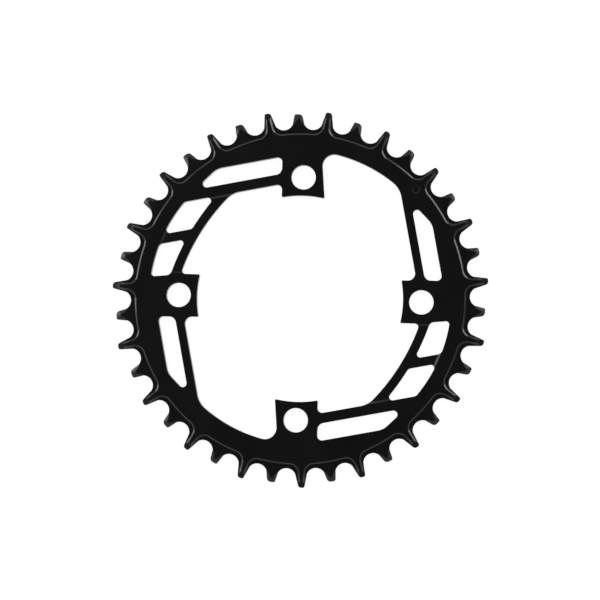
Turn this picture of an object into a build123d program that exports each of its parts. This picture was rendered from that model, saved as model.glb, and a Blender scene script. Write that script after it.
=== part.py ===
"""Narrow-wide bicycle chainring for four bolts, cut from one aluminium plate.

The ring lies on its back face. +Z is its axis and points out of the front face, and the origin is
the centre of the bolt circle, on the back face. One bolt lies on +Y. Sizes are in millimetres.
"""

import os
from math import atan, cos, degrees, radians, sin, sqrt, tan

from build123d import *

# Chain fit: wide and narrow teeth take turns, so the teeth come in pairs
tooth_pairs = 19
chain_pitch = 12.7
seat_radius = 4.25
seat_angle = 118.0
flank_angle = 13.0
wide_tooth_height = 3.88
narrow_tooth_height = 2.38
trailing_tip_cut = 0.85
first_wide_tooth = 7.01

# Plate, and the thinner layer in its middle that carries the teeth
plate_thickness = 3.8
tooth_thickness = 2.0
shoulder_below_root = 2.34
shoulder_run = 0.85

# Rib on each face that makes a tooth wide
rib_width = 1.31
rib_angle = 6.0
rib_lead = 0.26
rib_below_tip = 3.12
rib_end_run = 1.45
rib_root_radius = 4.4

# Bevels that let the chain find the teeth
narrow_bevel_angle = 17.0
wide_bevel_angle = 9.0
narrow_face_above_pitch = 0.4
narrow_face_width = 0.6
narrow_bevel_below_pitch = 2.1

# Four bolt tabs, one along each axis
bolt_circle = 104.0
bolt_hole_diameter = 10.4
tab_width = 18.25
tab_edge_to_bolt = 7.85
tab_side_angle = 5.2
tab_corner_radius = 0.5

# Struts from the tabs to the rim, each with a slot outside it
strut_angle = 12.0
slot_above_bolt = 2.1
slot_width = 7.23
slot_tab_gap = 0.25
slot_end_angle = 45.0
slot_end_rims = (7.45, 9.58)
slot_shoulder_radius = 8.0
slot_end_radius = 1.7
slot_outer_radius = 2.0
slot_inner_radius = 3.0

# Two open corners of the middle, with rims of their own
open_strut_width = 3.66
open_corner_rims = (9.01, 10.61)
open_rim_tab_radius = 5.0
open_rim_strut_radius = 10.0
open_strut_tab_radius = 3.0

# Curved brace across each of the other two corners
braced_strut_width = 4.35
brace_angle = 62.2
brace_inside_bolts = 0.7
brace_width = 3.9
brace_inner_curve = 88.6
brace_outer_curve = 102.0
brace_strut_radius = 10.0
brace_tab_radius = 1.5
strut_tab_radius = 2.0

# Two windows between each brace and the rim
window_rim = 7.85
upper_window_height = 12.0
cross_strut_width = 3.88
window_foot_angle = 6.0
window_sharp_radius = 1.4
window_blunt_radius = 2.5

# Recess in the front of each brace
recess_depth = 0.8
recess_run = 0.8
recess_inset = 0.15

# Timing dimple in the front of the rim
dimple_angle = 45.0
dimple_below_root = 4.45
dimple_diameter = 3.8
dimple_depth = 0.1
dimple_run = 0.8

# Sizes that follow from those above
tab_angles = (0, 90, 180, 270)
top_tab = 90
half_turns = (0, 180)
tooth_count = 2 * tooth_pairs
tooth_step = 360 / tooth_count
pair_step = 360 / tooth_pairs
first_narrow_tooth = first_wide_tooth + tooth_step
pitch_radius = chain_pitch / (2 * sin(radians(tooth_step / 2)))
root_radius = pitch_radius - seat_radius
neck_radius = pitch_radius - seat_radius * cos(radians(seat_angle / 2))
neck_across = seat_radius * sin(radians(seat_angle / 2))
wide_tip = pitch_radius + wide_tooth_height
narrow_tip = pitch_radius + narrow_tooth_height
tooth_bottom = (plate_thickness - tooth_thickness) / 2
tooth_top = tooth_bottom + tooth_thickness
shoulder_height = plate_thickness - tooth_top
shoulder_taper = degrees(atan(shoulder_run / shoulder_height))
shoulder_radius = root_radius - shoulder_below_root
rib_end = wide_tip - rib_below_tip + rib_end_run
bolt_radius = bolt_circle / 2
tab_half = tab_width / 2
tab_inner_radius = bolt_radius - tab_edge_to_bolt
slot_inner_edge = bolt_radius + slot_above_bolt
slot_outer_edge = slot_inner_edge + slot_width
open_strut_edge = slot_inner_edge - open_strut_width
braced_strut_edge = slot_inner_edge - braced_strut_width
upper_window_foot = braced_strut_edge - upper_window_height
lower_window_top = upper_window_foot - cross_strut_width
window_radius = root_radius - window_rim
brace_inner_edge = bolt_radius - brace_inside_bolts
brace_outer_edge = brace_inner_edge + brace_width
recess_taper = degrees(atan(recess_run / recess_depth))
dimple_taper = degrees(atan(dimple_run / dimple_depth))
middle = Plane.XY.offset(plate_thickness / 2)
front = Plane.XY.offset(plate_thickness)


def polar(radius, angle, across=0.0):
    """The point at a radius and an angle, moved across that radius, counter-clockwise."""
    turn = radians(angle)
    return (radius * cos(turn) - across * sin(turn), radius * sin(turn) + across * cos(turn))


def strut_point(edge, along):
    """A point beside the +Y tab's strut, on a line this far from the centre, and this far along it."""
    return polar(edge, top_tab + strut_angle, along)


def strut_at_x(edge, x):
    """The point at this x on a line beside the +Y tab's strut."""
    return (x, (edge + x * sin(radians(strut_angle))) / cos(radians(strut_angle)))


def brace_centre(edge, curve):
    """The centre of an edge of the brace, which crosses the brace's own axis at this radius."""
    return polar(edge - curve, top_tab + brace_angle)


def flank_half_width(radius):
    """Half the width of a tooth at this radius, between its straight flanks."""
    neck = polar(neck_radius, tooth_step / 2, -neck_across)
    return neck[1] - (radius - neck[0]) * tan(radians(flank_angle))


def round_corners(sketch, corners, radii):
    """Rounds corners of the sketch, each with its own radius."""
    places = [Vector(corner) for corner in corners]
    for place, radius in zip(places, radii):
        fillet(sketch.vertices().sort_by_distance(place)[0], radius)


def slot(end_rim):
    """The slot outside the +Y tab's strut, cut off square to the diagonal between two tabs."""
    tab_side = -tab_half - slot_tab_gap
    slope = radians(slot_end_angle - strut_angle)
    inner_end = (root_radius - end_rim - slot_inner_edge * cos(slope)) / sin(slope)
    outer_end = (root_radius - end_rim - slot_outer_edge * cos(slope)) / sin(slope)
    with BuildSketch() as opening:
        with BuildLine():
            FilletPolyline(
                strut_at_x(slot_outer_edge, tab_side),
                strut_point(slot_outer_edge, outer_end),
                strut_point(slot_inner_edge, inner_end),
                strut_at_x(slot_inner_edge, tab_side),
                radius=(slot_outer_radius, slot_shoulder_radius, slot_end_radius, slot_inner_radius),
                close=True,
            )
        make_face()
    return opening.sketch


def open_corner(rim):
    """The corner of the middle between the +Y tab and the strut of the +X tab, out to the rim."""
    strut_turn = radians(strut_angle)
    strut_foot = (tab_half - open_strut_edge * sin(strut_turn)) / cos(strut_turn)
    side_slope = tan(radians(tab_side_angle))
    deep = tab_inner_radius - tab_half
    with BuildSketch() as opening:
        with BuildLine():
            Polyline(
                (tab_half + (tab_inner_radius - deep) * side_slope, deep),
                (tab_half + (tab_inner_radius - wide_tip) * side_slope, wide_tip),
                polar(open_strut_edge, strut_angle, wide_tip),
                polar(open_strut_edge, strut_angle, strut_foot),
                (deep, tab_half),
                close=True,
            )
        make_face()
        Circle(root_radius - rim, mode=Mode.INTERSECT)
        outer = opening.vertices().sort_by(SortBy.DISTANCE)[2:].sort_by(Axis.X)
        round_corners(opening, outer, (open_rim_tab_radius, open_rim_strut_radius, open_strut_tab_radius))
    return opening.sketch


def braced_corner():
    """The corner of the middle between the +Y tab's strut and the -X tab, out to the brace."""
    deep = tab_inner_radius - tab_half
    with BuildSketch() as opening:
        with BuildLine():
            Polyline(
                (-tab_half, deep),
                strut_at_x(braced_strut_edge, -tab_half),
                strut_point(braced_strut_edge, wide_tip),
                (-wide_tip, tab_half),
                (-deep, tab_half),
                close=True,
            )
        make_face()
        with Locations(brace_centre(brace_inner_edge, brace_inner_curve)):
            Circle(brace_inner_curve, mode=Mode.INTERSECT)
        outer = opening.vertices().sort_by(SortBy.DISTANCE)[2:].sort_by(Axis.X)
        round_corners(opening, outer, (brace_tab_radius, brace_strut_radius, strut_tab_radius))
    return opening.sketch


def window(*corners):
    """A window between the brace and the rim, from corners that reach past both of them."""
    with BuildSketch() as opening:
        with BuildLine():
            Polyline(*corners, close=True)
        make_face()
        Circle(window_radius, mode=Mode.INTERSECT)
        with Locations(brace_centre(brace_outer_edge, brace_outer_curve)):
            Circle(brace_outer_curve, mode=Mode.SUBTRACT)
        sharp, blunt = window_sharp_radius, window_blunt_radius
        round_corners(opening, opening.vertices().sort_by(Axis.X), (sharp, blunt, blunt, sharp))
    return opening.sketch


def recess():
    """The lowered front of the brace and of the bar between its windows."""
    with BuildSketch() as opening:
        with BuildLine():
            Polyline(
                strut_at_x(braced_strut_edge - recess_inset, -tab_width),
                strut_point(braced_strut_edge - recess_inset, wide_tip),
                (-wide_tip, tab_half + recess_inset),
                (-tab_width, tab_half + recess_inset),
                close=True,
            )
        make_face()
        Circle(window_radius - recess_inset, mode=Mode.INTERSECT)
    return opening.sketch


def bevels(lines, angle, rib_run=0.0):
    """The wedges ground off both faces of a tooth, each outside a line, and off the end of a rib inside it."""
    with BuildPart() as wedges:
        for start, end in lines:
            along = end - start
            outward = Vector(along.Y, -along.X)
            with BuildSketch(Plane(origin=start + Vector(0, 0, tooth_top), x_dir=outward, z_dir=along)):
                Polygon(
                    (0, 0),
                    (-2 * rib_run, -2 * shoulder_height),
                    (wide_tooth_height, -2 * shoulder_height),
                    (wide_tooth_height, wide_tooth_height * tan(radians(angle))),
                    align=None,
                )
            extrude(amount=along.length)
        mirror(about=middle)
    return wedges.part


# Shoulders on both faces, with a rib on every wide tooth
with BuildPart() as shoulders:
    rib_slope = tan(radians(rib_angle))
    rib_root = rib_width / 2 + (pitch_radius - shoulder_radius) * rib_slope
    rib_tip = rib_width / 2 - (rib_end - pitch_radius) * rib_slope
    before = rib_lead - rib_root
    after = rib_lead + rib_root
    before_radius = sqrt(shoulder_radius**2 - before**2)
    after_radius = sqrt(shoulder_radius**2 - after**2)
    with BuildSketch(front) as shoulder:
        with BuildLine():
            for rib in range(tooth_pairs):
                angle = first_wide_tooth + rib * pair_step
                Polyline(
                    polar(before_radius, angle, before),
                    polar(rib_end, angle, rib_lead - rib_tip),
                    polar(rib_end, angle, rib_lead + rib_tip),
                    polar(after_radius, angle, after),
                )
                ThreePointArc(
                    polar(after_radius, angle, after),
                    polar(shoulder_radius, angle + tooth_step),
                    polar(before_radius, angle + pair_step, before),
                )
        make_face()
        fillet(shoulder.vertices().sort_by(SortBy.DISTANCE)[:tooth_count], rib_root_radius)
    extrude(amount=-shoulder_height, taper=-shoulder_taper)
    mirror(about=middle)

# What is ground off both faces of a narrow and of a wide tooth, each pointing along +X
heel = pitch_radius - narrow_bevel_below_pitch
heel_half = flank_half_width(heel)
face_end = pitch_radius + narrow_face_above_pitch
face_half = narrow_face_width / 2
end_half = heel_half - (heel_half - face_half) * (narrow_tip - heel) / (face_end - heel)
narrow_lines = (
    (Vector(heel, -heel_half), Vector(narrow_tip, -end_half)),
    (Vector(face_end, -heel_half), Vector(face_end, heel_half)),
    (Vector(narrow_tip, end_half), Vector(heel, heel_half)),
)
wide_lines = ((Vector(rib_end, -heel_half), Vector(rib_end, heel_half)),)
narrow_bevels = bevels(narrow_lines, narrow_bevel_angle)
wide_bevels = bevels(wide_lines, wide_bevel_angle, rib_end_run)

# Windows beside the brace next to the +Y tab
foot_slope = tan(radians(window_foot_angle))
foot_start = tab_half - slot_tab_gap
upper_window = window(
    strut_at_x(braced_strut_edge, -tab_width),
    strut_point(braced_strut_edge, wide_tip),
    strut_point(upper_window_foot, wide_tip),
    strut_at_x(upper_window_foot, -tab_width),
)
lower_window = window(
    strut_at_x(lower_window_top, -tab_inner_radius),
    strut_point(lower_window_top, wide_tip),
    (-wide_tip, foot_start - (wide_tip - bolt_radius) * foot_slope),
    (-tab_inner_radius, foot_start + (bolt_radius - tab_inner_radius) * foot_slope),
)

# The whole ring: toothed layer, bevels, shoulders, openings, recesses and dimple
with BuildPart() as chainring:
    flank_turn = radians(flank_angle)
    with BuildSketch(Plane.XY.offset(tooth_bottom)):
        with BuildLine():
            for tooth in range(tooth_count):
                angle = first_wide_tooth + tooth * tooth_step
                seat = angle + tooth_step / 2
                tip = narrow_tip if tooth % 2 else wide_tip
                tip_half = flank_half_width(tip)
                cut_end = tip - trailing_tip_cut * cos(flank_turn)
                Polyline(
                    polar(neck_radius, seat - tooth_step, neck_across),
                    polar(cut_end, angle, -flank_half_width(cut_end)),
                    polar(tip, angle, trailing_tip_cut - tip_half),
                    polar(tip, angle, tip_half),
                    polar(neck_radius, seat, -neck_across),
                )
                ThreePointArc(
                    polar(neck_radius, seat, -neck_across),
                    polar(root_radius, seat),
                    polar(neck_radius, seat, neck_across),
                )
        make_face()
    extrude(amount=tooth_thickness)
    with PolarLocations(0, tooth_pairs, start_angle=first_narrow_tooth):
        add(narrow_bevels, mode=Mode.SUBTRACT)
    add(shoulders.part)
    with PolarLocations(0, tooth_pairs, start_angle=first_wide_tooth):
        add(wide_bevels, mode=Mode.SUBTRACT)

    with BuildSketch() as openings:
        Circle(tab_inner_radius)
        for turn, rim in zip(half_turns, open_corner_rims):
            add(open_corner(rim), rotation=turn)
            add(braced_corner(), rotation=turn)
        tab_corners = openings.vertices().sort_by(SortBy.DISTANCE)[: 2 * len(tab_angles)]
        fillet(tab_corners, tab_corner_radius)
        for turn in half_turns:
            add(upper_window, rotation=turn)
            add(lower_window, rotation=turn)
        for turn, rim in zip(tab_angles, 2 * slot_end_rims):
            add(slot(rim), rotation=turn)
        with PolarLocations(bolt_radius, len(tab_angles)):
            Circle(bolt_hole_diameter / 2)
    extrude(amount=plate_thickness, mode=Mode.SUBTRACT)

    with BuildSketch(front):
        for turn in half_turns:
            add(recess(), rotation=turn)
    extrude(amount=-recess_depth, taper=recess_taper, mode=Mode.SUBTRACT)

    with BuildSketch(front):
        with Locations(polar(root_radius - dimple_below_root, dimple_angle)):
            Circle(dimple_diameter / 2)
    extrude(amount=-dimple_depth, taper=dimple_taper, mode=Mode.SUBTRACT)

chainring.part.label = "chainring"
os.makedirs("parts", exist_ok=True)
export_step(chainring.part, "parts/chainring.step")
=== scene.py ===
"""A narrow-wide bicycle chainring: a toothed ring with broken edges in satin black, on a studio floor."""

import math

import bmesh
import bpy
import numpy as np
from mathutils import Matrix, Vector, geometry


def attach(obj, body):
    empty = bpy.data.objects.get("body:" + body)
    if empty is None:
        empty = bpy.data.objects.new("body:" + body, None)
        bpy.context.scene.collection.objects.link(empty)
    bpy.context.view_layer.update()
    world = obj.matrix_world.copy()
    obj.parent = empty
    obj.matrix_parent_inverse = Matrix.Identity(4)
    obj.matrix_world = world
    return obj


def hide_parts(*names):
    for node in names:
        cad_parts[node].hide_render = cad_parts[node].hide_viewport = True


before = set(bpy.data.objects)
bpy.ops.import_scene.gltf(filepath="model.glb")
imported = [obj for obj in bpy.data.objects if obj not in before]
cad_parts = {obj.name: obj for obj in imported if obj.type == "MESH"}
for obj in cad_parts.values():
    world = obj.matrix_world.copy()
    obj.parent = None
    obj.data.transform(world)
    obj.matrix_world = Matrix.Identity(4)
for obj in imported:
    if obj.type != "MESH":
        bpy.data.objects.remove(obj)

bl_info = {
    "name": "Bicycle chainring",
    "version": (1, 0, 0),
    "blender": (4, 5, 0),
    "location": "3D View > Sidebar > Chainring",
    "description": "Builds a narrow-wide chainring with broken edges and sets it on a studio floor",
    "category": "Object",
}

# Teeth, the trailing side first; all sizes of the ring are in millimetres and degrees
tooth_pairs = 19
chain_pitch = 12.7
seat_radius = 4.25
seat_angle = 118.0
wide_flank_angles = (13.5, 11.5)
narrow_flank_angles = (12.0, 10.5)
wide_tooth_height = 3.88
narrow_tooth_height = 2.38
wide_tip_radii = (1.4, 0.7)
narrow_tip_radii = (1.8, 0.8)
first_wide_tooth = 7.01

# Plate, tooth layer and shoulders, whose slopes bend at these shares of their run and fall
plate_thickness = 3.8
tooth_thickness = 2.0
shoulder_below_root = 2.34
shoulder_run = 0.85
bend_run_share = 0.7
bend_fall_share = 0.6

# Ribs of the wide teeth
rib_width = 1.31
rib_angle = 6.0
rib_lead = 0.2
rib_below_tip = 3.12
rib_end_run = 1.45
rib_root_radius = 4.4

# Bevels of the teeth; the side edges of a crown get points at these shares of their way from the heel
narrow_bevel_angle = 17.0
wide_bevel_angle = 9.0
crown_above_pitch = 0.4
crown_below_pitch = 2.7
crown_face_width = 1.1
crown_bow = 0.35
crown_shares = (0.25, 0.5, 0.75)

# Bolt tabs
bolt_circle = 104.0
bolt_hole_diameter = 10.4
tab_width = 18.25
tab_edge_to_bolt = 7.85
tab_side_angle = 5.2
tab_corner_radius = 0.5

# Struts and slots
strut_angle = 12.0
slot_above_bolt = 2.1
slot_width = 7.23
slot_tab_gap = 0.25
slot_end_angle = 45.0
slot_end_rims = (7.45, 9.58)
slot_shoulder_radius = 8.0
slot_end_radius = 1.7
slot_outer_radius = 2.0
slot_inner_radius = 3.0

# Open corners
open_strut_width = 3.66
open_corner_rims = (9.01, 10.61)
open_rim_tab_radius = 5.0
open_rim_strut_radius = 10.0
open_strut_tab_radius = 3.0

# Braces and windows
braced_strut_width = 4.35
brace_angle = 62.2
brace_inside_bolts = 0.7
brace_width = 3.9
brace_inner_curve = 88.6
brace_outer_curve = 102.0
brace_strut_radius = 10.0
brace_tab_radius = 1.5
strut_tab_radius = 2.0
window_rim = 7.85
upper_window_height = 12.0
cross_strut_width = 3.88
window_foot_angle = 6.0
window_sharp_radius = 1.4
window_blunt_radius = 2.5

# Recesses of the braces, and the dimple
recess_depth = 0.8
recess_run = 0.8
recess_inset = 0.15
recess_reach = 34.675
dimple_angle = 45.0
dimple_below_root = 4.45
dimple_diameter = 3.8
dimple_depth = 0.1
dimple_run = 0.6

# Mesh: points nearer than this are one, a crossing this near to an edge's end is that end, a heel lies
# between these shares of its half width, and the foot of the shoulder is drawn back by a share at a time
# until it keeps these counts of tooth breaks from the flanks
merge_distance = 0.0001
end_share = 0.001
heel_shares = (0.9, 1.1)
pull_share = 0.02
foot_margin = 1.5
rib_end_margin = 2.0

# Finish: how far its clouds, turning marks and grain change the colour, the blur and the surface, in metres
cloud_scale = 60.0
cloud_shade = 0.4
cloud_blur = 0.08
mark_blur = 0.06
grain_blur = 0.08
mark_height = 0.4
bump_strength = 0.12
bump_depth = 0.00005
oxide_index = 1.5

# Stage: the floor, in metres, and the grey of the walls by height, from 0 at the floor to 1 overhead
floor_grey = 0.25
floor_roughness = 0.2
floor_drop = 0.0002
wall_greys = ((0.0, 0.76), (0.15, 0.6), (0.3, 0.15), (0.62, 0.22), (0.83, 1.0), (0.92, 0.38), (0.97, 0.02))

# Sizes that follow from those above
millimetre = 0.001
tab_angles = (0, 90, 180, 270)
top_tab = 90
half_turns = (0, 180)
tooth_step = 180 / tooth_pairs
pair_step = 360 / tooth_pairs
first_seat = first_wide_tooth - tooth_step / 2
first_narrow_tooth = first_wide_tooth + tooth_step
pitch_radius = chain_pitch / (2 * math.sin(math.radians(tooth_step / 2)))
root_radius = pitch_radius - seat_radius
neck_radius = pitch_radius - seat_radius * math.cos(math.radians(seat_angle / 2))
neck_across = seat_radius * math.sin(math.radians(seat_angle / 2))
wide_tip = pitch_radius + wide_tooth_height
narrow_tip = pitch_radius + narrow_tooth_height
tooth_top = (plate_thickness + tooth_thickness) / 2
shoulder_radius = root_radius - shoulder_below_root
rib_top_end = wide_tip - rib_below_tip
rib_end = rib_top_end + rib_end_run
bolt_radius = bolt_circle / 2
tab_half = tab_width / 2
tab_inner_radius = bolt_radius - tab_edge_to_bolt
slot_inner_edge = bolt_radius + slot_above_bolt
slot_outer_edge = slot_inner_edge + slot_width
open_strut_edge = slot_inner_edge - open_strut_width
braced_strut_edge = slot_inner_edge - braced_strut_width
upper_window_foot = braced_strut_edge - upper_window_height
lower_window_top = upper_window_foot - cross_strut_width
window_radius = root_radius - window_rim
brace_inner_edge = bolt_radius - brace_inside_bolts
brace_outer_edge = brace_inner_edge + brace_width
dimple_radius = root_radius - dimple_below_root
join_radius = (shoulder_radius + dimple_radius + dimple_diameter / 2) / 2
origin = Vector((0.0, 0.0))


class Socket:
    """A node socket that takes part in Python sums; each sum adds a Math node."""

    def __init__(self, tree, socket=None):
        self.tree = tree
        self.socket = socket

    def node(self, kind, settings=None, sockets=None, out=0):
        """Adds a node, sets its settings first and its sockets after, and returns one of its outputs."""
        made = self.tree.nodes.new(kind)
        for name, value in (settings or {}).items():
            if name == "stops":
                ramp = made.color_ramp
                while len(ramp.elements) < len(value):
                    ramp.elements.new(1.0)
                for element, (place, colour) in zip(ramp.elements, value):
                    element.position = place
                    element.color = colour
            else:
                setattr(made, name, value)
        for name, value in (sockets or {}).items():
            for one in value if isinstance(value, list) else [value]:
                if isinstance(one, Socket):
                    self.tree.links.new(one.socket, made.inputs[name])
                else:
                    made.inputs[name].default_value = one
        return Socket(self.tree, made.outputs[out])

    def math(self, operation, *values):
        """One Math node on these values."""
        return self.node("ShaderNodeMath", {"operation": operation}, dict(enumerate(values)))

    def __add__(self, other):
        return self.math("ADD", self, other)

    def __radd__(self, other):
        return self.math("ADD", other, self)

    def __sub__(self, other):
        return self.math("SUBTRACT", self, other)

    def __rsub__(self, other):
        return self.math("SUBTRACT", other, self)

    def __mul__(self, other):
        return self.math("MULTIPLY", self, other)

    def __rmul__(self, other):
        return self.math("MULTIPLY", other, self)

    def __truediv__(self, other):
        return self.math("DIVIDE", self, other)

    def __rtruediv__(self, other):
        return self.math("DIVIDE", other, self)


class RingSettings(bpy.types.PropertyGroup):
    """Fineness of the toothed ring."""

    edge_break: bpy.props.FloatProperty(
        name="Edge break", description="Width of the break along the edges of the openings", subtype="DISTANCE",
        min=0.00002, max=0.0003, default=0.00012,
    )
    tooth_break: bpy.props.FloatProperty(
        name="Tooth break", description="Width of the break along the edges of the teeth", subtype="DISTANCE",
        min=0.00002, max=0.0002, default=0.00008,
    )
    crown_rounding: bpy.props.FloatProperty(
        name="Crown rounding", description="How far the narrow teeth's bevels are rounded into their faces",
        subtype="DISTANCE", min=0.0001, max=0.0006, default=0.0005,
    )
    arc_step: bpy.props.FloatProperty(
        name="Arc step", description="Most that an arc turns between two points", subtype="ANGLE",
        min=math.radians(1), max=math.radians(6), default=math.radians(5),
    )
    arc_length: bpy.props.FloatProperty(
        name="Arc length", description="Most that an arc runs between two points", subtype="DISTANCE",
        min=0.0002, default=0.001,
    )
    sharp_angle: bpy.props.FloatProperty(
        name="Sharp angle", description="Edges that bend by more than this stay sharp", subtype="ANGLE",
        default=math.radians(6.5),
    )


class FinishSettings(bpy.types.PropertyGroup):
    """The black anodised finish."""

    black: bpy.props.FloatVectorProperty(
        name="Black", description="Colour of the dyed oxide layer", subtype="COLOR", size=3, min=0.0, max=1.0,
        default=(0.00576, 0.00576, 0.00605),
    )
    roughness: bpy.props.FloatProperty(
        name="Roughness", description="Blur of the satin sheen", subtype="FACTOR", min=0.0, max=1.0,
        default=0.23,
    )
    grain_size: bpy.props.FloatProperty(
        name="Grain size", description="Size of the etched grain", subtype="DISTANCE", min=0.00005,
        default=0.0003,
    )
    cut_spacing: bpy.props.FloatProperty(
        name="Cut spacing", description="Distance between turning marks", subtype="DISTANCE", min=0.0001,
        default=0.0006,
    )


class StageSettings(bpy.types.PropertyGroup):
    """Floor, lights and camera."""

    camera_place: bpy.props.FloatVectorProperty(
        name="Camera", description="Where the camera stands", subtype="XYZ_LENGTH", size=3,
        default=(0.0641, -0.03993, 1.06988),
    )
    camera_target: bpy.props.FloatVectorProperty(
        name="Target", description="Point in the middle of the picture", subtype="XYZ_LENGTH", size=3,
        default=(0.00012, -0.00057, 0.0029),
    )
    camera_turn: bpy.props.FloatProperty(
        name="Turn", description="Turn of the picture's upright from +Y", subtype="ANGLE",
        default=math.radians(1.88),
    )
    lens: bpy.props.FloatProperty(
        name="Lens", description="Focal length on a 36 mm sensor", subtype="DISTANCE_CAMERA", default=150.0,
    )
    floor_size: bpy.props.FloatProperty(
        name="Floor size", description="Side of the floor", subtype="DISTANCE", default=6.0,
    )
    floor_glow: bpy.props.FloatProperty(
        name="Floor glow", description="Light that the floor gives off, as a light table does", min=0.0,
        default=0.915,
    )
    panel_angles: bpy.props.FloatVectorProperty(
        name="Panel angles", description="Directions of the two light panels from +X", subtype="EULER", size=2,
        default=(math.radians(36), math.radians(167)),
    )
    low_widths: bpy.props.FloatVectorProperty(
        name="Low widths", description="Widths of the low panels in the two directions", subtype="XYZ_LENGTH",
        size=2, default=(0.8, 0.6),
    )
    high_widths: bpy.props.FloatVectorProperty(
        name="High widths", description="Widths of the high panels in the two directions", subtype="XYZ_LENGTH",
        size=2, default=(0.45, 0.4),
    )
    panel_rises: bpy.props.FloatVectorProperty(
        name="Panel rises", description="Angles of the low and the high panels over the floor", subtype="EULER",
        size=2, default=(math.radians(5), math.radians(48)),
    )
    panel_heights: bpy.props.FloatVectorProperty(
        name="Panel heights", description="Heights of the low and the high panels", subtype="XYZ_LENGTH",
        size=2, default=(0.26, 0.22),
    )
    low_glows: bpy.props.FloatVectorProperty(
        name="Low glows", description="Brightness of the low panels in the two directions", size=2, min=0.0,
        default=(4.3, 4.0),
    )
    high_glows: bpy.props.FloatVectorProperty(
        name="High glows", description="Brightness of the high panels in the two directions", size=2, min=0.0,
        default=(3.3, 3.5),
    )
    panel_distance: bpy.props.FloatProperty(
        name="Panel distance", description="Distance of a light panel from the ring", subtype="DISTANCE",
        default=1.0,
    )


def polar(radius, angle, across=0.0):
    """The point at a radius and an angle, moved across that radius, counter-clockwise."""
    turn = math.radians(angle)
    return Vector((
        radius * math.cos(turn) - across * math.sin(turn),
        radius * math.sin(turn) + across * math.cos(turn),
    ))


def turned(point, angle):
    """The point turned about the ring's axis."""
    return polar(point.x, angle, point.y)


def strut_point(edge, along):
    """A point beside the +Y tab's strut, on a line this far from the centre, and this far along it."""
    return polar(edge, top_tab + strut_angle, along)


def strut_at_x(edge, x):
    """The point at this x on a line beside the +Y tab's strut."""
    turn = math.radians(strut_angle)
    return Vector((x, (edge + x * math.sin(turn)) / math.cos(turn)))


def brace_centre(edge, curve):
    """The centre of an edge of the brace, which crosses the brace's own axis at this radius."""
    return polar(edge - curve, top_tab + brace_angle)


def flank_half_width(radius, flank_angle):
    """Distance from a tooth's middle to a straight flank at this radius."""
    neck = polar(neck_radius, tooth_step / 2, -neck_across)
    return neck.y - (radius - neck.x) * math.tan(math.radians(flank_angle))


def seat_half_width(radius):
    """Half the width of a tooth at this radius, between the two seats beside it."""
    seat = polar(pitch_radius, tooth_step / 2)
    return seat.y - math.sqrt(seat_radius**2 - (seat.x - radius) ** 2)


def rib_half_width(radius):
    """Half the width of the top of a rib at this radius."""
    return rib_width / 2 - (radius - pitch_radius) * math.tan(math.radians(rib_angle))


class Line:
    """A straight edge, from one point towards another."""

    def __init__(self, start, end):
        self.start = start
        self.way = (end - start).normalized()

    def shifted(self, gap):
        """The edge moved to its left."""
        start = self.start + Vector((-self.way.y, self.way.x)) * gap
        return Line(start, start + self.way)

    def foot(self, point):
        """The point of the edge that is nearest to a point."""
        return self.start + self.way * (point - self.start).dot(self.way)

    def heading(self, point):
        """The way that the edge runs at a point of it."""
        return self.way

    def points(self, start, end):
        """Points from the start up to the end, which is left out."""
        return [start]


class Arc:
    """A round edge, counter-clockwise where its turn is 1 and clockwise where it is -1."""

    def __init__(self, centre, radius, turn=1):
        self.centre = centre
        self.radius = radius
        self.turn = turn

    def shifted(self, gap):
        """The edge moved to its left."""
        return Arc(self.centre, self.radius - self.turn * gap, self.turn)

    def foot(self, point):
        """The point of the edge that is nearest to a point."""
        return self.centre + (point - self.centre).normalized() * self.radius

    def heading(self, point):
        """The way that the edge runs at a point of it."""
        out = (point - self.centre).normalized()
        return Vector((-out.y, out.x)) * self.turn

    def points(self, start, end):
        """Points from the start up to the end, which is left out."""
        settings = bpy.context.scene.chainring_ring
        first, last = (math.atan2(p.y - self.centre.y, p.x - self.centre.x) for p in (start, end))
        sweep = (last - first) * self.turn % math.tau
        count = max(sweep / settings.arc_step, sweep * self.radius * millimetre / settings.arc_length)
        count = max(math.ceil(count), 1)
        angles = (first + self.turn * sweep * k / count for k in range(count))
        return [self.centre + Vector((math.cos(a), math.sin(a))) * self.radius for a in angles]

    def loop(self):
        """Points all the way round."""
        one, two = (self.centre + Vector((side * self.radius, 0)) for side in (1, -1))
        return self.points(one, two) + self.points(two, one)


def meet(one, two, near):
    """The point where two edges cross, the nearest one to a given point."""
    if isinstance(one, Arc) and isinstance(two, Arc):
        found = geometry.intersect_sphere_sphere_2d(one.centre, one.radius, two.centre, two.radius)
    elif isinstance(one, Arc):
        return meet(two, one, near)
    elif isinstance(two, Arc):
        found = geometry.intersect_line_sphere_2d(one.start, one.start + one.way, two.centre, two.radius, False)
    else:
        return one.start + one.way * ((two.start - one.start).cross(two.way) / one.way.cross(two.way))
    return min((point for point in found if point), key=lambda point: (point - near).length)


def bend(edge, after, near, radius):
    """Where an edge is left for the next, the arc between them, and where the next one is joined."""
    corner = meet(edge, after, near)
    if not radius:
        return corner, None, corner
    side = math.copysign(1, edge.heading(corner).cross(after.heading(corner)))
    centre = meet(edge.shifted(side * radius), after.shifted(side * radius), corner)
    return edge.foot(centre), Arc(centre, radius, side), after.foot(centre)


def path(edges, corners, radii, ends=None):
    """Points along edges whose corners are rounded, round a loop where no ends are given."""
    following = edges[1:] if ends else edges[1:] + edges[:1]
    bends = [bend(*each) for each in zip(edges, following, corners, radii)]
    start = ends[0] if ends else bends[-1][2]
    points = []
    for edge, (leave, arc, join) in zip(edges, bends):
        points += edge.points(start, leave)
        if arc:
            points += arc.points(leave, join)
        start = join
    if ends:
        points += edges[-1].points(start, ends[1]) + [ends[1]]
    return points


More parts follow.
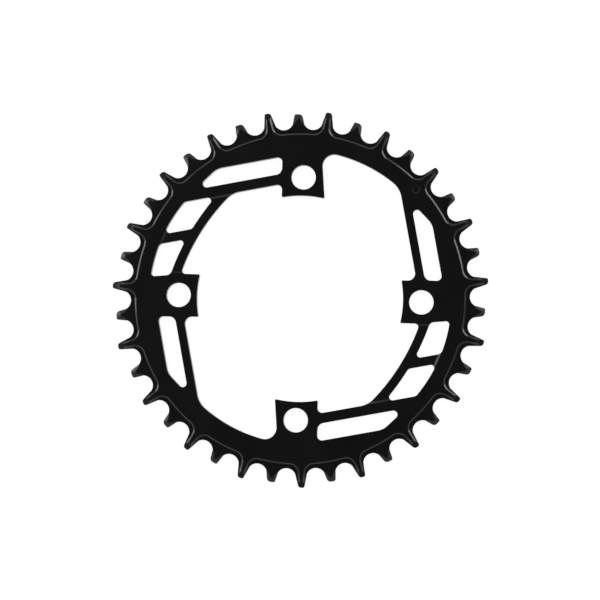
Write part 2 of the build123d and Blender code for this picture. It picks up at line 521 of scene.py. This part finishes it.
def offset(points, gap, before=None, after=None):
    """The points moved to the right of their way, with sharp corners; a loop where no neighbours are given."""
    row = [before or points[-1], *points, after or points[0]]
    moved = []
    for back, here, ahead in zip(row, row[1:], row[2:]):
        way = (here - back).normalized()
        middle = (way + (ahead - here).normalized()).normalized()
        moved.append(here + Vector((middle.y, -middle.x)) * gap / middle.dot(way))
    return moved


def pair_offset(points, gap):
    """The same for a line across one tooth pair, which goes on in the next pair."""
    return offset(points, gap, turned(points[-2], -pair_step), turned(points[1], pair_step))


def inside(points, loop):
    """Which of the points lie inside a loop."""
    starts = np.array([tuple(point) for point in loop])
    ends = np.roll(starts, -1, axis=0)
    x, y = points[:, :1], points[:, 1:]
    crossed = (starts[:, 1] > y) != (ends[:, 1] > y)
    rise = np.where(ends[:, 1] == starts[:, 1], 1.0, ends[:, 1] - starts[:, 1])
    left = x < starts[:, 0] + (y - starts[:, 1]) / rise * (ends[:, 0] - starts[:, 0])
    return (crossed & left).sum(axis=1) % 2 == 1


def add_crossings(edge, wall, start, end):
    """Adds points to two matched lines where a third crosses the first of them, and returns those points."""
    found = []
    place = 1
    while place < len(edge):
        hit = geometry.intersect_line_line_2d(edge[place - 1], edge[place], start, end)
        if hit:
            share = (hit - edge[place - 1]).length / (edge[place] - edge[place - 1]).length
            if end_share < share < 1 - end_share:
                edge.insert(place, hit)
                wall.insert(place, wall[place - 1].lerp(wall[place], share))
                found.append(hit)
                place += 1
            else:
                found.append(edge[place - 1 if share < 0.5 else place])
        place += 1
    return found


class Shell:
    """Collects the faces of a piece."""

    def __init__(self):
        self.points = []
        self.faces = []
        self.rounded = []

    def strip(self, one, two):
        """Faces between two matched runs of points."""
        first = len(self.points)
        count = len(one)
        self.points += [*one, *two]
        self.faces += [(k, k + 1, k + 1 + count, k + count) for k in range(first, first + count - 1)]
        self.rounded += [0.0] * (count - 1)

    def fill(self, outer, height, holes=(), lines=(), rounded=False):
        """Triangles that fill an outline less its holes, at heights by place, with edges along the lines."""
        points, edges = [], []
        for run in ([*outer, outer[0]], *([*hole, hole[0]] for hole in holes), *lines):
            first = len(points)
            points += run
            edges += [(k, k + 1) for k in range(first, len(points) - 1)]
        inside_outline = 1
        corners, _, faces, *_ = geometry.delaunay_2d_cdt(points, edges, [], inside_outline, merge_distance)
        faces = np.array(faces)
        middles = np.array([tuple(corner) for corner in corners])[faces].mean(axis=1)
        kept = np.full(len(faces), True)
        for hole in holes:
            kept &= ~inside(middles, hole)
        used, faces = np.unique(faces[kept], return_inverse=True)
        first = len(self.points)
        self.points += [(*corners[k], height(corners[k])) for k in used]
        self.faces += [tuple(first + k for k in face) for face in faces.reshape(-1, 3).tolist()]
        self.rounded += [float(rounded)] * int(kept.sum())

    def piece(self, name):
        """An object of the faces, in metres."""
        mesh = bpy.data.meshes.new(name)
        mesh.from_pydata([Vector(point) * millimetre for point in self.points], [], self.faces)
        mesh.attributes.new("rounded", "FLOAT", "FACE").data.foreach_set("value", self.rounded)
        piece = bpy.data.objects.new(name, mesh)
        bpy.context.scene.collection.objects.link(piece)
        return piece


def at_height(points, height):
    """The points at one height, or each at its own."""
    heights = height if isinstance(height, list) else [height] * len(points)
    return [(*point, z) for point, z in zip(points, heights)]


def join_line(settings):
    """The line across one tooth pair where the teeth join the plate."""
    count = math.ceil(math.radians(pair_step) * join_radius * millimetre / settings.arc_length)
    return [polar(join_radius, first_seat + pair_step * k / count) for k in range(count + 1)]


def tooth_outline():
    """The outline of a wide and a narrow tooth, from a seat's middle to that of the next seat but one."""
    points = []
    for angle, tip, flank_angles, radii in (
        (first_wide_tooth, wide_tip, wide_flank_angles, wide_tip_radii),
        (first_narrow_tooth, narrow_tip, narrow_flank_angles, narrow_tip_radii),
    ):
        before, after = angle - tooth_step / 2, angle + tooth_step / 2
        seats = [Arc(polar(pitch_radius, middle), seat_radius, -1) for middle in (before, after)]
        trailing_neck = polar(neck_radius, before, neck_across)
        leading_neck = polar(neck_radius, after, -neck_across)
        trailing, leading = (flank_half_width(tip, flank_angle) for flank_angle in flank_angles)
        corners = [polar(tip, angle, -trailing), polar(tip, angle, leading)]
        edges = [Line(trailing_neck, corners[0]), Line(*corners), Line(corners[1], leading_neck)]
        points += seats[0].points(polar(root_radius, before), trailing_neck)
        points += path(edges, corners, radii, (trailing_neck, leading_neck))[:-1]
        points += seats[1].points(leading_neck, polar(root_radius, after))
    return [*points, polar(root_radius, after)]


def shoulder_edge():
    """The upper edge of the shoulder across a tooth pair, round the rib of the wide tooth."""
    root, tip = (rib_half_width(radius) for radius in (shoulder_radius, rib_top_end))
    before, after = rib_lead - root, rib_lead + root
    corners = [
        polar(math.sqrt(shoulder_radius**2 - before**2), first_wide_tooth, before),
        polar(rib_top_end, first_wide_tooth, rib_lead - tip),
        polar(rib_top_end, first_wide_tooth, rib_lead + tip),
        polar(math.sqrt(shoulder_radius**2 - after**2), first_wide_tooth, after),
    ]
    around = Arc(origin, shoulder_radius)
    sides = [Line(*ends) for ends in zip(corners, corners[1:])]
    ends = [polar(shoulder_radius, first_seat), polar(shoulder_radius, first_seat + pair_step)]
    return path([around, *sides, around], corners, (rib_root_radius, 0, 0, rib_root_radius), ends)


class NarrowBevel:
    """The bevels of a narrow tooth, rounded into the face between them."""

    heel = pitch_radius - crown_below_pitch
    heel_half = seat_half_width(heel)
    face_end = pitch_radius + crown_above_pitch
    face_half = crown_face_width / 2
    along = Vector((face_end - heel, face_half - heel_half)).normalized()
    outward = Vector((-along.y, along.x))
    length = (face_end - heel) / along.x
    ridge = Vector((1, (1 - outward.x) / outward.y))

    @staticmethod
    def past(gap, rounding):
        """How far a place beyond an edge counts, less near the edge, which is rounded."""
        if gap >= rounding:
            return gap
        return max(gap + rounding, 0.0) ** 2 / (4 * rounding)

    @classmethod
    def fall(cls, point, rounding):
        """Depth below the tooth's face; the side edges are sharp at the heel and rounder towards the tip."""
        place = turned(point, -first_narrow_tooth)
        from_heel = Vector((place.x - cls.heel, abs(place.y) - cls.heel_half))
        share = min(from_heel.dot(cls.along) / cls.length, 1.0)
        gap = from_heel.dot(cls.outward) + cls.bow(share)
        side = cls.past(gap, share * rounding) if share > 0 else 0.0
        end = cls.past(place.x - cls.face_end, rounding)
        return max(side, end) * math.tan(math.radians(narrow_bevel_angle))

    @staticmethod
    def bow(share):
        """How far the side edge bows into the face, at this share of its way from the heel."""
        return 4 * crown_bow * share * (1 - share)

    @classmethod
    def side_lines(cls, side, rounding, steps=4):
        """Lines along a rounded side edge, from near the heel to the face's end, the inmost one first."""
        lines = []
        for gap in (rounding * (2 * k / steps - 1) for k in range(steps + 1)):
            line = []
            for share in crown_shares:
                way = cls.along * cls.length * share + cls.outward * (gap * share - cls.bow(share))
                line.append(polar(cls.heel + way.x, first_narrow_tooth, side * (cls.heel_half + way.y)))
            lines.append([*line, cls.corner(side, gap)])
        return lines

    @classmethod
    def corner(cls, side, gap):
        """The point at this distance beyond both the side edge and the end edge of the face."""
        return polar(cls.face_end + gap, first_narrow_tooth, side * (cls.face_half + gap * cls.ridge.y))

    @classmethod
    def heel_ray(cls, side):
        """A line across the tooth's edge at the heel."""
        return [polar(cls.heel, first_narrow_tooth, side * cls.heel_half * share) for share in heel_shares]


def tooth_height(point, rounding):
    """Height of the front of a tooth, which is bevelled towards its tip."""
    place = turned(point, -first_wide_tooth)
    if place.y > place.x * math.tan(math.radians(tooth_step / 2)):
        return tooth_top - NarrowBevel.fall(point, rounding)
    return tooth_top - max(place.x - rib_end, 0.0) * math.tan(math.radians(wide_bevel_angle))


def rib_tips(shoulder):
    """Places of the two corners at the top of the rib's end, in their order along the shoulder."""
    farthest = sorted(range(len(shoulder)), key=lambda k: -turned(shoulder[k], -first_wide_tooth).x)
    return sorted(farthest[:2])


def foot_of_shoulder(shoulder, outline, tooth_break):
    """The foot of the shoulder's slope, kept inside the teeth, with a long slope at the rib's end."""
    foot = pair_offset(shoulder, shoulder_run)
    limit = [*pair_offset(outline, -foot_margin * tooth_break), origin]
    for k in range(1, len(shoulder) - 1):
        while not inside(np.array([tuple(foot[k])]), limit)[0]:
            foot[k] = foot[k].lerp(shoulder[k], pull_share)
    reach = flank_half_width(rib_end, max(wide_flank_angles)) - rib_end_margin * tooth_break
    foot_half = rib_half_width(rib_end) + shoulder_run / math.cos(math.radians(rib_angle))
    for k, side in zip(rib_tips(shoulder), (-1, 1)):
        foot[k] = polar(rib_end, first_wide_tooth, side * min(foot_half + side * rib_lead, reach))
    return foot


def bevel_lines(rib_feet, face_edge, outline, rounding):
    """Lines that bound the bevels of both teeth; the tooth's edges get points where they end."""
    lines, ridges = [], []
    for foot, side in zip(rib_feet, (-1, 1)):
        flank = polar(rib_end, first_wide_tooth, side * wide_tooth_height)
        lines.append([foot, add_crossings(face_edge, outline, foot, flank)[0]])
    for side in (-1, 1):
        heel = add_crossings(face_edge, outline, *NarrowBevel.heel_ray(side))[0]
        sides = NarrowBevel.side_lines(side, rounding)
        lines += [[heel, *line] for line in sides]
        ridge = [line[-1] for line in sides]
        beyond = NarrowBevel.corner(side, wide_tooth_height)
        lines.append([*ridge, add_crossings(face_edge, outline, ridge[-1], beyond)[0]])
        ridges.append(ridge)
    return lines + [list(ends) for ends in zip(*ridges)]


def tooth_pair(settings):
    """A wide and a narrow tooth with their shoulders, from the plate's rim outwards, both faces alike."""
    tooth_break = settings.tooth_break / millimetre
    rounding = settings.crown_rounding / millimetre
    outline = tooth_outline()
    face_edge = pair_offset(outline, -tooth_break)
    shoulder = shoulder_edge()
    shoulder_foot = foot_of_shoulder(shoulder, outline, tooth_break)
    tips = rib_tips(shoulder)
    shares = [bend_fall_share if k in tips else bend_run_share for k in range(len(shoulder))]
    shoulder_bend = [one.lerp(two, share) for one, two, share in zip(shoulder, shoulder_foot, shares)]
    bend_height = plate_thickness - bend_fall_share * (plate_thickness - tooth_top)
    lines = bevel_lines([shoulder_foot[k] for k in tips], face_edge, outline, rounding)
    heights = [tooth_height(point, rounding) for point in face_edge]
    upper = [height - tooth_break for height in heights]
    lower = [plate_thickness - height for height in upper]
    rim = join_line(settings)

    shell = Shell()
    for flip in (False, True):
        def level(height):
            return plate_thickness - height if flip else height

        shell.fill([*rim, *reversed(shoulder)], lambda point: level(plate_thickness))
        bent = at_height(shoulder_bend, level(bend_height))
        shell.strip(at_height(shoulder, level(plate_thickness)), bent)
        shell.strip(bent, at_height(shoulder_foot, level(tooth_top)))
        shell.fill(
            [*shoulder_foot, *reversed(face_edge)], lambda point: level(tooth_height(point, rounding)),
            lines=lines, rounded=True,
        )
        tops = [level(height) for height in heights]
        shell.strip(at_height(face_edge, tops), at_height(outline, lower if flip else upper))
    shell.strip(at_height(outline, upper), at_height(outline, lower))
    return shell.piece("tooth_pair")


def middle_opening():
    """The opening in the middle of the ring, with its tabs and its open and braced corners."""
    edges, corners, radii = [], [], []
    inner = Arc(origin, tab_inner_radius)
    side_slope = math.tan(math.radians(tab_side_angle))
    brace = brace_centre(brace_inner_edge, brace_inner_curve)
    for turn, rim in zip(half_turns, open_corner_rims):
        def at(x, y):
            return turned(Vector((x, y)), turn)

        strut_in = polar(open_strut_edge, strut_angle + turn)
        strut_out = polar(open_strut_edge, strut_angle + turn, wide_tip)
        side_top = at(tab_half + (tab_inner_radius - wide_tip) * side_slope, wide_tip)
        braced_near = turned(strut_at_x(braced_strut_edge, -tab_half), turn)
        braced_far = turned(strut_point(braced_strut_edge, wide_tip), turn)
        for edge, corner, radius in (
            (inner, at(tab_inner_radius, tab_half), tab_corner_radius),
            (Line(at(0, tab_half), at(1, tab_half)), at(open_strut_edge, tab_half), open_strut_tab_radius),
            (Line(strut_in, strut_out), strut_out, open_rim_strut_radius),
            (Arc(origin, root_radius - rim), side_top, open_rim_tab_radius),
            (Line(side_top, at(tab_half, tab_inner_radius)), at(tab_half, tab_inner_radius), tab_corner_radius),
            (inner, at(-tab_half, tab_inner_radius), tab_corner_radius),
            (Line(at(-tab_half, 0), at(-tab_half, 1)), braced_near, strut_tab_radius),
            (Line(braced_near, braced_far), braced_far, brace_strut_radius),
            (Arc(turned(brace, turn), brace_inner_curve), at(-wide_tip, tab_half), brace_tab_radius),
            (Line(at(-wide_tip, tab_half), at(0, tab_half)), at(-tab_inner_radius, tab_half), tab_corner_radius),
        ):
            edges.append(edge)
            corners.append(corner)
            radii.append(radius)
    return path(edges, corners, radii)


def slot(end_rim):
    """The slot outside the +Y tab's strut."""
    tab_side = -tab_half - slot_tab_gap
    slope = math.radians(slot_end_angle - strut_angle)
    inner_end = (root_radius - end_rim - slot_inner_edge * math.cos(slope)) / math.sin(slope)
    outer_end = (root_radius - end_rim - slot_outer_edge * math.cos(slope)) / math.sin(slope)
    corners = [
        strut_at_x(slot_outer_edge, tab_side),
        strut_point(slot_outer_edge, outer_end),
        strut_point(slot_inner_edge, inner_end),
        strut_at_x(slot_inner_edge, tab_side),
    ]
    edges = [Line(*ends) for ends in zip([corners[-1], *corners], corners)]
    return path(edges, corners, (slot_outer_radius, slot_shoulder_radius, slot_end_radius, slot_inner_radius))


def window(top, foot):
    """A window between the brace and the rim, from its top and foot lines, which start beyond the rim."""
    rim = Arc(origin, window_radius)
    brace = Arc(brace_centre(brace_outer_edge, brace_outer_curve), brace_outer_curve, -1)
    edges = [Line(top[1], top[0]), rim, Line(*foot), brace]
    radii = (window_blunt_radius, window_sharp_radius, window_blunt_radius, window_sharp_radius)
    return path(edges, (top[0], foot[0], foot[0], top[0]), radii)


def windows():
    """The two windows of the brace next to the +Y tab."""
    foot_slope = math.tan(math.radians(window_foot_angle))
    foot_start = tab_half - slot_tab_gap
    return [
        window(
            (strut_point(braced_strut_edge, wide_tip), strut_at_x(braced_strut_edge, -tab_width)),
            (strut_point(upper_window_foot, wide_tip), strut_at_x(upper_window_foot, -tab_width)),
        ),
        window(
            (strut_point(lower_window_top, wide_tip), strut_at_x(lower_window_top, -tab_inner_radius)),
            (
                Vector((-wide_tip, foot_start - (wide_tip - bolt_radius) * foot_slope)),
                Vector((-tab_inner_radius, foot_start + (bolt_radius - tab_inner_radius) * foot_slope)),
            ),
        ),
    ]


def recess_lines(turn):
    """Upper and lower edges of a recess's slopes, across the strut, tab and rim ends of its brace."""
    lines = []
    for gap in (recess_inset, recess_inset + recess_run):
        strut = [strut_point(braced_strut_edge - gap, along) for along in (tab_half, recess_reach)]
        tab = [Vector((x, tab_half + gap)) for x in (-tab_inner_radius, tab_width - wide_tip)]
        rim_ends = [polar(window_radius - gap, top_tab + brace_angle + past) for past in (0, strut_angle)]
        rim = Arc(origin, window_radius - gap).points(*rim_ends)
        lines += [[turned(point, turn) for point in line] for line in (strut, tab, rim)]
    return lines


def front_height(point):
    """Height of the plate's front, with the recesses of the braces and the dimple."""
    within = dimple_diameter / 2 - (point - polar(dimple_radius, dimple_angle)).length
    drop = min(max(within / dimple_run, 0.0), 1.0) * dimple_depth
    for turn in half_turns:
        place = turned(point, turn)
        within = min(
            braced_strut_edge - recess_inset - place.dot(polar(1, top_tab + strut_angle)),
            window_radius - recess_inset - place.length,
            place.y - tab_half - recess_inset,
        )
        if place.x < -tab_width:
            drop += min(max(within / recess_run, 0.0), 1.0) * recess_depth
    return plate_thickness - drop


def plate(settings):
    """The plate inside the teeth, with its openings, the recesses of its braces and the dimple."""
    edge_break = settings.edge_break / millimetre
    openings = [middle_opening()]
    openings += [Arc(polar(bolt_radius, angle), bolt_hole_diameter / 2).loop() for angle in tab_angles]
    openings += [[turned(p, angle) for p in slot(rim)] for angle, rim in zip(tab_angles, 2 * slot_end_rims)]
    openings += [[turned(p, turn) for p in opening] for turn in half_turns for opening in windows()]
    lines = [line for turn in half_turns for line in recess_lines(turn)]
    cuts = [ends for line in lines for ends in zip(line, line[1:])]
    for size in (dimple_diameter / 2, dimple_diameter / 2 - dimple_run):
        circle = Arc(polar(dimple_radius, dimple_angle), size).loop()
        lines.append([*circle, circle[0]])
    rim = [turned(p, pair * pair_step) for pair in range(tooth_pairs) for p in join_line(settings)[:-1]]

    shell = Shell()
    edges = []
    for wall in openings:
        edge = offset(wall, edge_break)
        edge.append(edge[0])
        wall.append(wall[0])
        for start, end in cuts:
            add_crossings(edge, wall, start, end)
        tops = [front_height(point) for point in edge]
        sides = [height - edge_break for height in tops]
        shell.strip(at_height(edge, tops), at_height(wall, sides))
        shell.strip(at_height(wall, sides), at_height(wall, edge_break))
        shell.strip(at_height(wall, edge_break), at_height(edge, 0.0))
        edges.append(edge[:-1])
    shell.fill(rim, front_height, edges, lines)
    shell.fill(rim, lambda point: 0.0, edges)
    return shell.piece("toothed_ring")


def ring_tree():
    """Geometry Nodes that set the tooth pair round the plate and join them."""
    tree = bpy.data.node_groups.new("toothed_ring", "GeometryNodeTree")
    for name, way, kind in (
        ("Plate", "INPUT", "Geometry"), ("Tooth pair", "INPUT", "Object"), ("Pairs", "INPUT", "Int"),
        ("Join distance", "INPUT", "Float"), ("Finish", "INPUT", "Material"), ("Ring", "OUTPUT", "Geometry"),
    ):
        tree.interface.new_socket(name, in_out=way, socket_type="NodeSocket" + kind)
    given = {socket.name: Socket(tree, socket) for socket in tree.nodes.new("NodeGroupInput").outputs}
    start = Socket(tree)
    points = start.node("GeometryNodePoints", sockets={"Count": given["Pairs"]})
    turn = start.node("GeometryNodeInputIndex") / given["Pairs"] * math.tau
    angles = start.node("ShaderNodeCombineXYZ", sockets={"Z": turn})
    pair = start.node("GeometryNodeObjectInfo", sockets={"Object": given["Tooth pair"]}, out="Geometry")
    rotation = start.node("FunctionNodeEulerToRotation", sockets={"Euler": angles})
    teeth = start.node(
        "GeometryNodeInstanceOnPoints", sockets={"Points": points, "Instance": pair, "Rotation": rotation}
    )
    joined = start.node("GeometryNodeJoinGeometry", sockets={"Geometry": [teeth, given["Plate"]]})
    real = start.node("GeometryNodeRealizeInstances", sockets={"Geometry": joined})
    merged = start.node(
        "GeometryNodeMergeByDistance", sockets={"Geometry": real, "Distance": given["Join distance"]}
    )
    finished = start.node("GeometryNodeSetMaterial", sockets={"Geometry": merged, "Material": given["Finish"]})
    tree.links.new(finished.socket, tree.nodes.new("NodeGroupOutput").inputs["Ring"])
    return tree


def anodised_black(settings):
    """Satin black: a dyed oxide layer with etched grain and faint turning marks round the axis."""
    material = bpy.data.materials.new("black_anodised")
    material.use_nodes = True
    tree = material.node_tree
    shader = tree.nodes["Principled BSDF"]
    start = Socket(tree)
    place = start.node("ShaderNodeTexCoord", out="Object")
    across = start.node("ShaderNodeSeparateXYZ", sockets={0: place}, out="X")
    along = start.node("ShaderNodeSeparateXYZ", sockets={0: place}, out="Y")
    radius = start.math("SQRT", across * across + along * along)
    cloud = start.node("ShaderNodeTexNoise", sockets={"Vector": place, "Scale": cloud_scale, "Detail": 3.0})
    grain = start.node(
        "ShaderNodeTexNoise", sockets={"Vector": place, "Scale": 1 / settings.grain_size, "Detail": 2.0}
    )
    marks = start.node(
        "ShaderNodeTexNoise", {"noise_dimensions": "1D"},
        {"W": radius * (1 / settings.cut_spacing), "Detail": 2.0},
    )
    uneven = cloud - 0.5
    shade = 1 + uneven * cloud_shade
    colour = start.node(
        "ShaderNodeMix", {"data_type": "RGBA"},
        {6: (0, 0, 0, 1), 7: (*[2 * c for c in settings.black], 1), 0: shade / 2}, out=2,
    )
    rough = settings.roughness + uneven * cloud_blur + (marks - 0.5) * mark_blur + (grain - 0.5) * grain_blur
    height = marks * mark_height + grain
    bump = start.node(
        "ShaderNodeBump", sockets={"Strength": bump_strength, "Distance": bump_depth, "Height": height}
    )
    tree.links.new(colour.socket, shader.inputs["Base Color"])
    tree.links.new(rough.socket, shader.inputs["Roughness"])
    tree.links.new(bump.socket, shader.inputs["Normal"])
    shader.inputs["IOR"].default_value = oxide_index
    return material


def floor_white(glow):
    """Smooth white floor that gives off a little light of its own."""
    material = bpy.data.materials.new("floor_white")
    material.use_nodes = True
    shader = material.node_tree.nodes["Principled BSDF"]
    shader.inputs["Base Color"].default_value = (floor_grey, floor_grey, floor_grey, 1)
    shader.inputs["Roughness"].default_value = floor_roughness
    shader.inputs["Emission Color"].default_value = (1, 1, 1, 1)
    shader.inputs["Emission Strength"].default_value = glow
    return material


def lay_floor(scene, settings):
    """The floor, a little below the ring so that the two don't share a plane."""
    half = settings.floor_size / 2
    mesh = bpy.data.meshes.new("floor")
    corners = [(-half, -half, 0), (half, -half, 0), (half, half, 0), (-half, half, 0)]
    mesh.from_pydata(corners, [], [(0, 1, 2, 3)])
    mesh.materials.append(floor_white(settings.floor_glow))
    floor = bpy.data.objects.new("floor", mesh)
    scene.collection.objects.link(floor)
    floor.location.z = -floor_drop


def hang_panels(scene, settings):
    """Light panels that face the ring, a low and a high one in each of two directions."""
    for rise, height, widths, glows in zip(
        settings.panel_rises, settings.panel_heights,
        (settings.low_widths, settings.high_widths), (settings.low_glows, settings.high_glows),
    ):
        for angle, width, glow in zip(settings.panel_angles, widths, glows):
            light = bpy.data.lights.new("light_panel", "AREA")
            light.shape = "RECTANGLE"
            light.size = width
            light.size_y = height
            light.energy = glow * math.pi * width * height
            panel = bpy.data.objects.new("light_panel", light)
            scene.collection.objects.link(panel)
            way = Vector((math.cos(rise) * math.cos(angle), math.cos(rise) * math.sin(angle), math.sin(rise)))
            panel.location = way * settings.panel_distance
            panel.rotation_euler = (-way).to_track_quat("-Z", "Y").to_euler()
            panel.visible_camera = False


def paint_walls(scene):
    """The studio's walls and ceiling, grey by height in what the ring reflects, and white to the camera."""
    world = bpy.data.worlds.new("studio")
    scene.world = world
    world.use_nodes = True
    start = Socket(world.node_tree)
    place = start.node("ShaderNodeTexCoord", out="Generated")
    up = start.node("ShaderNodeSeparateXYZ", sockets={0: place}, out="Z")
    stops = [(height, (grey, grey, grey, 1)) for height, grey in wall_greys]
    walls = start.node("ShaderNodeValToRGB", {"stops": stops}, {0: up})
    seen = start.node("ShaderNodeLightPath", out="Is Camera Ray")
    colour = start.node("ShaderNodeMix", {"data_type": "RGBA"}, {0: seen, 6: walls, 7: (1, 1, 1, 1)}, out=2)
    world.node_tree.links.new(colour.socket, world.node_tree.nodes["Background"].inputs["Color"])


def place_camera(scene, settings):
    """The camera, at the photograph's viewing angle."""
    data = bpy.data.cameras.new("camera")
    data.lens = settings.lens
    data.sensor_width = 36.0
    data.clip_end = 20.0
    camera = bpy.data.objects.new("camera", data)
    scene.collection.objects.link(camera)
    place = Vector(settings.camera_place)
    ahead = (Vector(settings.camera_target) - place).normalized()
    upright = Vector((-math.sin(settings.camera_turn), math.cos(settings.camera_turn), 0))
    right = ahead.cross(upright).normalized()
    axes = Matrix((right, right.cross(ahead), -ahead)).transposed()
    camera.matrix_world = Matrix.Translation(place) @ axes.to_4x4()
    scene.camera = camera


class CHAINRING_OT_ring(bpy.types.Operator):
    """Builds the toothed ring in its black finish, in place of the plain solid"""

    bl_idname = "chainring.ring"
    bl_label = "Build the toothed ring"

    def execute(self, context):
        settings = context.scene.chainring_ring
        teeth = tooth_pair(settings)
        ring = plate(settings)
        tree = ring_tree()
        modifier = ring.modifiers.new("teeth", "NODES")
        modifier.node_group = tree
        sockets = {item.name: item.identifier for item in tree.interface.items_tree}
        modifier[sockets["Tooth pair"]] = teeth
        modifier[sockets["Pairs"]] = tooth_pairs
        modifier[sockets["Join distance"]] = millimetre * millimetre
        modifier[sockets["Finish"]] = anodised_black(context.scene.chainring_finish)
        result = bpy.data.meshes.new_from_object(ring.evaluated_get(context.evaluated_depsgraph_get()))
        ring.modifiers.clear()
        ring.data = result
        bpy.data.objects.remove(teeth)

        solid = bmesh.new()
        solid.from_mesh(result)
        bmesh.ops.recalc_face_normals(solid, faces=solid.faces)
        loose = sum(not edge.is_manifold for edge in solid.edges)
        if loose:
            raise RuntimeError(f"the ring isn't closed: {loose} edges don't join two faces")
        rounded = solid.faces.layers.float["rounded"]
        for face in solid.faces:
            face.smooth = True
        for edge in solid.edges:
            gentle = edge.calc_face_angle(0.0) < settings.sharp_angle
            edge.smooth = gentle or all(face[rounded] for face in edge.link_faces)
        solid.to_mesh(result)
        solid.free()
        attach(ring, "root")
        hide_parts("chainring")
        return {"FINISHED"}


class CHAINRING_OT_stage(bpy.types.Operator):
    """Sets up the floor, the lights and the camera"""

    bl_idname = "chainring.stage"
    bl_label = "Set the stage"

    def execute(self, context):
        scene = context.scene
        settings = scene.chainring_stage
        lay_floor(scene, settings)
        hang_panels(scene, settings)
        paint_walls(scene)
        place_camera(scene, settings)
        scene.view_settings.view_transform = "Standard"
        return {"FINISHED"}


class CHAINRING_PT_panel(bpy.types.Panel):
    """Lists the chainring's steps and sizes"""

    bl_label = "Chainring"
    bl_idname = "CHAINRING_PT_panel"
    bl_space_type = "VIEW_3D"
    bl_region_type = "UI"
    bl_category = "Chainring"

    def draw(self, context):
        scene = context.scene
        for groups, step in (
            ((scene.chainring_ring, scene.chainring_finish), CHAINRING_OT_ring),
            ((scene.chainring_stage,), CHAINRING_OT_stage),
        ):
            box = self.layout.box()
            for settings in groups:
                for name in settings.__annotations__:
                    box.prop(settings, name)
            box.operator(step.bl_idname)


classes = (
    RingSettings, FinishSettings, StageSettings, CHAINRING_OT_ring, CHAINRING_OT_stage, CHAINRING_PT_panel,
)


def register():
    for each in classes:
        bpy.utils.register_class(each)
    bpy.types.Scene.chainring_ring = bpy.props.PointerProperty(type=RingSettings)
    bpy.types.Scene.chainring_finish = bpy.props.PointerProperty(type=FinishSettings)
    bpy.types.Scene.chainring_stage = bpy.props.PointerProperty(type=StageSettings)


def unregister():
    del bpy.types.Scene.chainring_stage
    del bpy.types.Scene.chainring_finish
    del bpy.types.Scene.chainring_ring
    for each in reversed(classes):
        bpy.utils.unregister_class(each)


def main():
    """Runs the steps in order."""
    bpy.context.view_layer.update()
    register()
    bpy.ops.chainring.ring()
    bpy.ops.chainring.stage()


if __name__ == "__main__":
    main()
